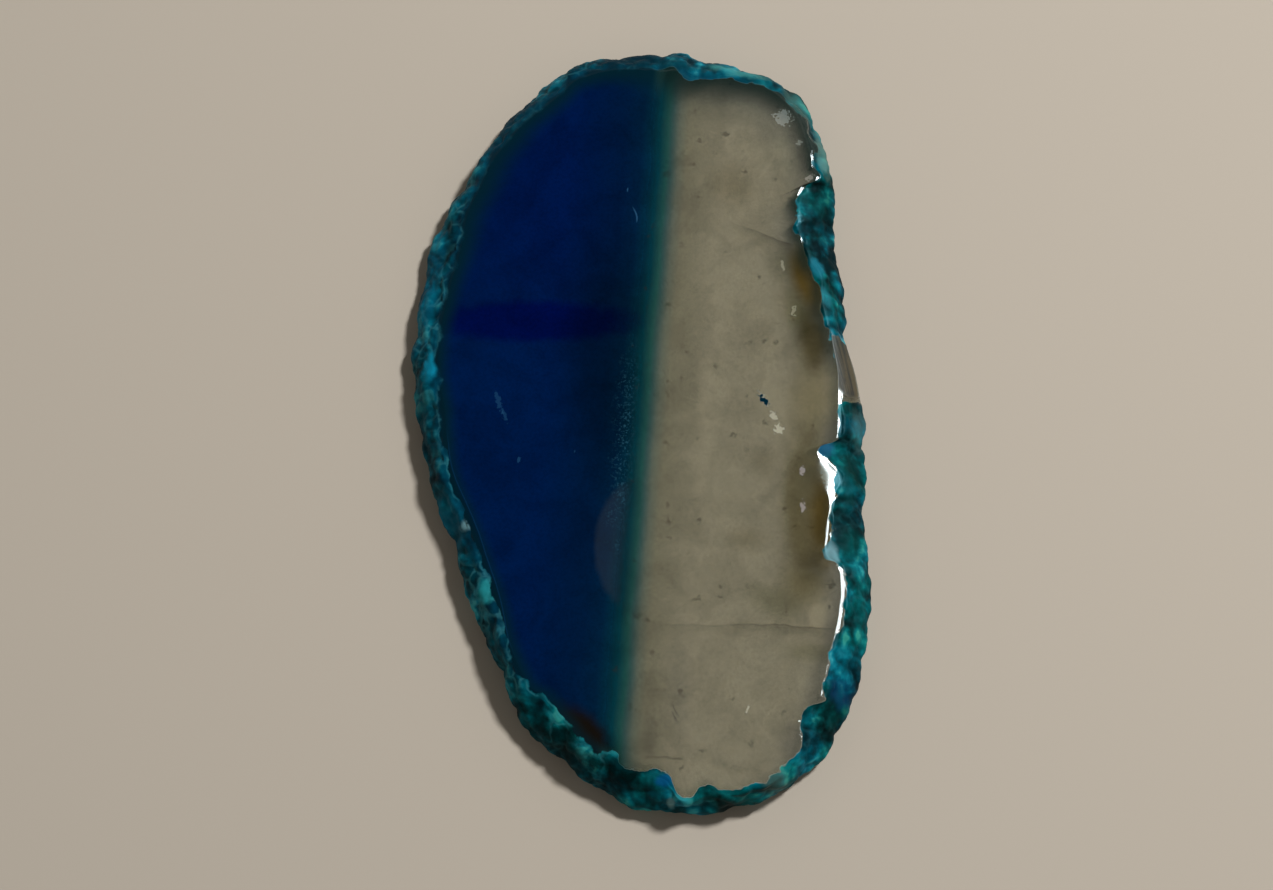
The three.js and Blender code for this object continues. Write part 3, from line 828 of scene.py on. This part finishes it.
# It is greener in large patches on the right, and on the left bluer and darker next to the face
GREENER_SIZE, GREENER_TINT, INNER_COLOUR = 6, "#f4f4d4", "#033046"
greener = add(tree, "ShaderNodeTexNoise",
              {"Vector": place, "Scale": 1 / GREENER_SIZE, "Detail": 1, "Distortion": 0.5},
              out="Fac")
greener = add(tree, "ShaderNodeMapRange", {"Value": greener, "From Min": 0.36, "From Max": 0.56})
green_side = add(tree, "ShaderNodeVectorMath", {0: place, 1: (1, -0.35, 0)},
                 out="Value", operation="DOT_PRODUCT")
green_side = add(tree, "ShaderNodeMapRange", {"Value": green_side, "From Min": -8, "From Max": 6})
greener = add(tree, "ShaderNodeMath", {0: greener, 1: green_side}, operation="MULTIPLY")
crust_colour = add(tree, "ShaderNodeMix",
                   {SHARE: greener, UNDER: crust_colour, OVER: linear(GREENER_TINT)},
                   out=MIXED, data_type="RGBA", blend_type="MULTIPLY")
blue_side = add(tree, "ShaderNodeMath", {0: 1.0, 1: green_side}, operation="SUBTRACT")
inner = add(tree, "ShaderNodeMapRange",
            {"Value": skin_mm, "From Min": 1.7, "From Max": 0.5, "To Max": 0.75})
inner = add(tree, "ShaderNodeMath", {0: inner, 1: blue_side}, operation="MULTIPLY")
crust_colour = add(tree, "ShaderNodeMix",
                   {SHARE: inner, UNDER: crust_colour, OVER: linear(INNER_COLOUR)},
                   out=MIXED, data_type="RGBA")

# The pale net round the lumps, most of it on the left, and a pale lace where the skin starts
NET_SPACING, NET_COLOUR = 2.2, "#4c9ca6"
NET_BEND_SIZE, NET_BEND = 1.2, (0.9, 0.9, 0.9)
net_bend = add(tree, "ShaderNodeTexNoise",
               {"Vector": place, "Scale": 1 / NET_BEND_SIZE, "Detail": 1}, out="Color")
net_place = add(tree, "ShaderNodeVectorMath", {0: net_bend, 1: NET_BEND, 2: place},
                operation="MULTIPLY_ADD")
net_off = add(tree, "ShaderNodeTexVoronoi", {"Vector": net_place, "Scale": 1 / NET_SPACING},
              feature="DISTANCE_TO_EDGE")
net = add(tree, "ShaderNodeMapRange", {"Value": net_off, "From Min": 0.13, "From Max": 0.0},
          interpolation_type="SMOOTHSTEP")
net_shown = add(tree, "ShaderNodeMapRange",
                {"Value": slow, "From Min": 0.44, "From Max": 0.56, "To Max": 0.25})
net = add(tree, "ShaderNodeMath", {0: net, 1: net_shown}, operation="MULTIPLY")
lace_off = add(tree, "ShaderNodeMath", {0: skin_edge, 1: 1.95}, operation="SUBTRACT")
lace_off = add(tree, "ShaderNodeMath", {0: lace_off}, operation="ABSOLUTE")
lace = add(tree, "ShaderNodeMapRange", {"Value": lace_off, "From Min": 0.22, "From Max": 0.04})
lace_shown = add(tree, "ShaderNodeMapRange",
                 {"Value": patches, "From Min": 0.5, "From Max": 0.6, "To Max": 0.2})
lace = add(tree, "ShaderNodeMath", {0: lace, 1: lace_shown}, operation="MULTIPLY")
net = add(tree, "ShaderNodeMath", {0: net, 1: lace}, operation="MAXIMUM")
net_side = add(tree, "ShaderNodeMapRange",
               {"Value": across, "From Min": 4, "From Max": -4, "To Min": 0.15})
net = add(tree, "ShaderNodeMath", {0: net, 1: net_side}, operation="MULTIPLY")
crust_colour = add(tree, "ShaderNodeMix",
                   {SHARE: net, UNDER: crust_colour, OVER: linear(NET_COLOUR)},
                   out=MIXED, data_type="RGBA")

# Lumps that have taken the dye in their own way, singly or a stretch of them, and one pale lump on
# the right that is partly a painted glint: the middle of each, its half sizes, its turn, its
# colour, how well that covers and how it is laid on
TINT_HALF_DEPTH = 6
LUMP_TINTS = [
    ((-0.5, 48.6), (9.0, 3.4), 3, "#02202c", 0.9, "MIX"),
    ((6.0, 47.0), (5.0, 1.2), 0, "#04303a", 0.6, "MIX"),
    ((-16.6, 39.6), (4.0, 7.0), -38, "#033040", 0.85, "MIX"),
    ((-24.6, 26.0), (1.6, 3.0), -20, "#0a7080", 0.5, "MIX"),
    ((-26.6, 17.0), (2.4, 12.0), -8, "#066280", 0.5, "MIX"),
    ((-26.8, -1.5), (2.6, 8.5), 10, "#02303e", 0.55, "MIX"),
    ((-23.6, -15.0), (3.0, 5.0), 20, "#0a6480", 0.6, "MIX"),
    ((-8.5, -43.8), (6.0, 3.0), -38, "#01181a", 0.8, "MIX"),
    ((23.4, 26.4), (4.2, 7.0), 0, "#9cb8b8", 1.0, "MULTIPLY"),
    ((24.0, 36.0), (1.6, 5.0), 5, "#5c7a72", 0.6, "MIX"),
    ((27.6, -2.5), (1.6, 3.6), 0, "#5c8888", 0.2, "MIX"),
    ((25.8, -9.0), (2.2, 4.6), 0, "#02302e", 0.55, "MIX"),
    ((25.9, -17.6), (2.0, 2.4), 0, "#02302e", 0.6, "MIX"),
    ((24.0, -38.5), (3.2, 6.0), -25, "#8ca4a0", 1.0, "MULTIPLY"),
    ((16.4, -47.2), (3.2, 1.8), -35, "#54706a", 0.35, "MIX"),
    ((24.4, -35.8), (2.0, 2.6), 0, "#063a5c", 0.5, "MIX"),
    ((22.4, -5.5), (2.0, 1.4), -5, "#1c5070", 0.9, "MIX"),
    ((22.5, 18.6), (1.0, 1.8), 20, "#1c7488", 0.7, "MIX"),
    ((23.6, 14.6), (0.8, 1.6), 20, "#3aa0b4", 0.25, "MIX"),
    ((23.6, 33.2), (0.8, 1.6), 10, "#4c8484", 0.5, "MIX"),
    ((13.0, 46.4), (5.0, 1.2), -14, "#3c8c8c", 0.6, "MIX"),
    ((20.5, 41.6), (3.4, 2.0), -50, "#4a706a", 0.4, "MIX"),
    # partly a painted glint: the pale blue lump beside the strip
    ((23.4, -18.9), (1.1, 2.2), 8, "#7ca6b0", 0.6, "MIX"),
    ((-25.8, 5.5), (1.2, 2.2), 0, "#0f8fb0", 0.7, "MIX"),
    ((-18.3, -23.5), (1.3, 1.8), 20, "#2a9aa0", 0.7, "MIX"),
    ((-20.9, -15.3), (1.0, 0.8), 0, "#6a949c", 0.8, "MIX"),
    ((3.1, -46.8), (1.2, 1.0), 0, "#054a78", 0.8, "MIX"),
    ((1.6, -48.4), (1.1, 1.0), 0, "#013640", 0.8, "MIX"),
    ((3.9, -49.2), (0.6, 0.6), 0, "#7fa4a4", 0.5, "MIX"),
]
for (x, y), (wide, long), turn, tint, cover, way in LUMP_TINTS:
    close = nearness((x, y, THICKNESS), (wide, long, TINT_HALF_DEPTH), turn)
    close = add(tree, "ShaderNodeMath", {0: small, 1: -0.5, 2: close}, operation="MULTIPLY_ADD")
    tinted = add(tree, "ShaderNodeMapRange",
                 {"Value": close, "From Min": 0.2, "From Max": 0.55, "To Max": cover},
                 interpolation_type="SMOOTHSTEP")
    crust_colour = add(tree, "ShaderNodeMix",
                       {SHARE: tinted, UNDER: crust_colour, OVER: linear(tint)},
                       out=MIXED, data_type="RGBA", blend_type=way)
colour = add(tree, "ShaderNodeMix", {SHARE: crusted, UNDER: body, OVER: crust_colour},
             out=MIXED, data_type="RGBA")
tree.links.new(colour, stone.inputs["Base Color"])

# How far the stone lets one look in: hardly at all where it is dyed, well where it is clear, and
# not through the skin or a mark
DYED_VIEW, CLEAR_VIEW = 0.1, 0.82
bare_stone = add(tree, "ShaderNodeMath", {0: 1.0, 1: crusted}, operation="SUBTRACT")
depth_of_view = add(tree, "ShaderNodeMapRange",
                    {"Value": clear, "To Min": DYED_VIEW, "To Max": CLEAR_VIEW})
unmarked = add(tree, "ShaderNodeMath", {0: 1.0, 1: opaque}, operation="SUBTRACT")
see_through = add(tree, "ShaderNodeMath", {0: bare_stone, 1: depth_of_view}, operation="MULTIPLY")
see_through = add(tree, "ShaderNodeMath", {0: see_through, 1: unmarked}, operation="MULTIPLY")
tree.links.new(see_through, stone.inputs["Transmission Weight"])

# The polish: like glass on the stone, a little less on the facet below the knob, and on the right
# still a sheen on the lumps next to it. The skin and the chip are dull, and the skin's gloss has
# the colour of the dye on it.
FACE_ROUGHNESS, FACET_ROUGHNESS, SHEEN_ROUGHNESS = 0.05, 0.16, 0.22
SKIN_ROUGHNESS, CHIP_ROUGHNESS = 0.55, 0.7
REFLECTION = 0.06  # low, because the polished face mirrors hardly anything of the room
FACE_TINT, BLUE_TINT, GREEN_TINT = "#e8f4f8", "#38a4c4", "#78bccc"
sheen = add(tree, "ShaderNodeMapRange",
            {"Value": across, "From Min": 10, "From Max": 18,
             "To Min": SKIN_ROUGHNESS, "To Max": SHEEN_ROUGHNESS})
dull = add(tree, "ShaderNodeMapRange",
           {"Value": skin_mm, "From Min": 0.2, "From Max": 1.0,
            "To Min": sheen, "To Max": SKIN_ROUGHNESS})
facet_reach = distance((23.4, -8.8, THICKNESS), (2.0, 2.6, 4))
facet_gloss = add(tree, "ShaderNodeMapRange",
                  {"Value": facet_reach, "From Min": 1.1, "From Max": 0.8,
                   "To Min": FACE_ROUGHNESS, "To Max": FACET_ROUGHNESS})
polished = add(tree, "ShaderNodeMapRange",
               {"Value": chipped, "To Min": facet_gloss, "To Max": CHIP_ROUGHNESS})
gloss = add(tree, "ShaderNodeMapRange", {"Value": crusted, "To Min": polished, "To Max": dull})
tree.links.new(gloss, stone.inputs["Roughness"])
stone.inputs["Specular IOR Level"].default_value = REFLECTION
gloss_tint = add(tree, "ShaderNodeMix",
                 {SHARE: green_side, UNDER: linear(BLUE_TINT), OVER: linear(GREEN_TINT)},
                 out=MIXED, data_type="RGBA")
gloss_tint = add(tree, "ShaderNodeMix",
                 {SHARE: crusted, UNDER: linear(FACE_TINT), OVER: gloss_tint},
                 out=MIXED, data_type="RGBA")
tree.links.new(gloss_tint, stone.inputs["Specular Tint"])
slab_mesh.materials.append(agate)
